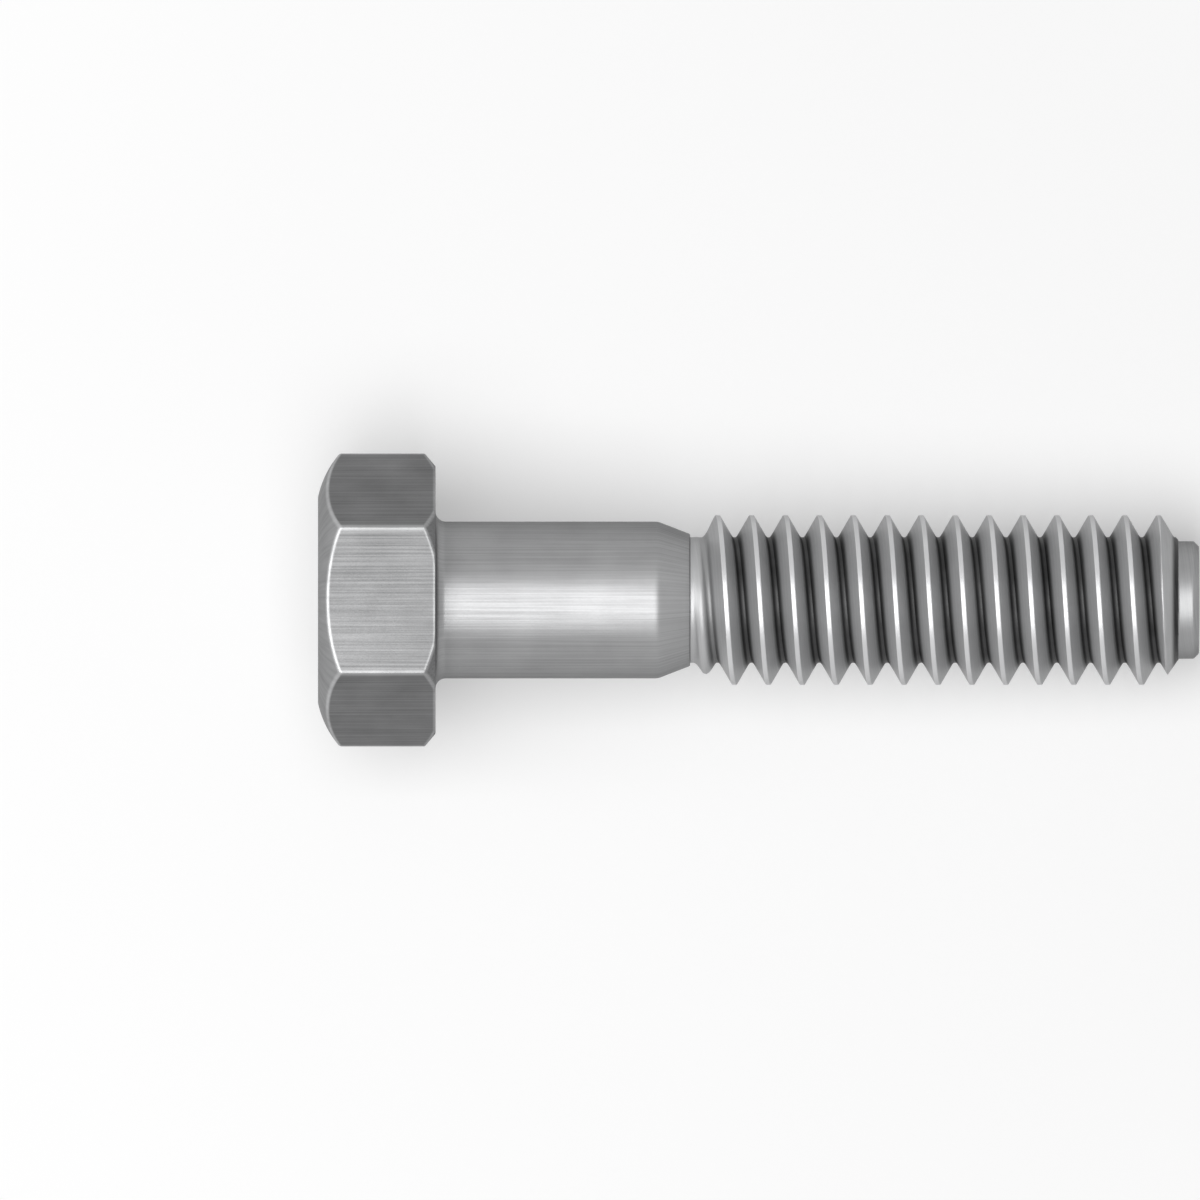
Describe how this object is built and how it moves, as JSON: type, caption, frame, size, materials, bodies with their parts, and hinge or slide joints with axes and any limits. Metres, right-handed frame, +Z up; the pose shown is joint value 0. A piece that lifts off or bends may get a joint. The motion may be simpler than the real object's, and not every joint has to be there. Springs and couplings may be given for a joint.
{
  "type": "hex head cap screw",
  "caption": "Hex head cap screw with a chamfered head, radial strength marks, a plain body with a taper, a coarse right-hand thread and a plain point.",
  "frame": {"origin": "centre of the bearing face under the head, on the screw's own axis", "axes": "+X from the head to the tip in plan, with the screw's axis 3.39 degrees down towards the tip, as it lies at rest; +Y towards a corner of the head; +Z up, with a flat of the head on top and one underneath"},
  "size_m": [0.0332, 0.011, 0.0098],
  "materials": {
    "steel": "clean bright steel, smooth turned body and rolled thread"
  },
  "bodies": {
    "root": {"cap_screw": "steel"}
  },
  "joints": []
}
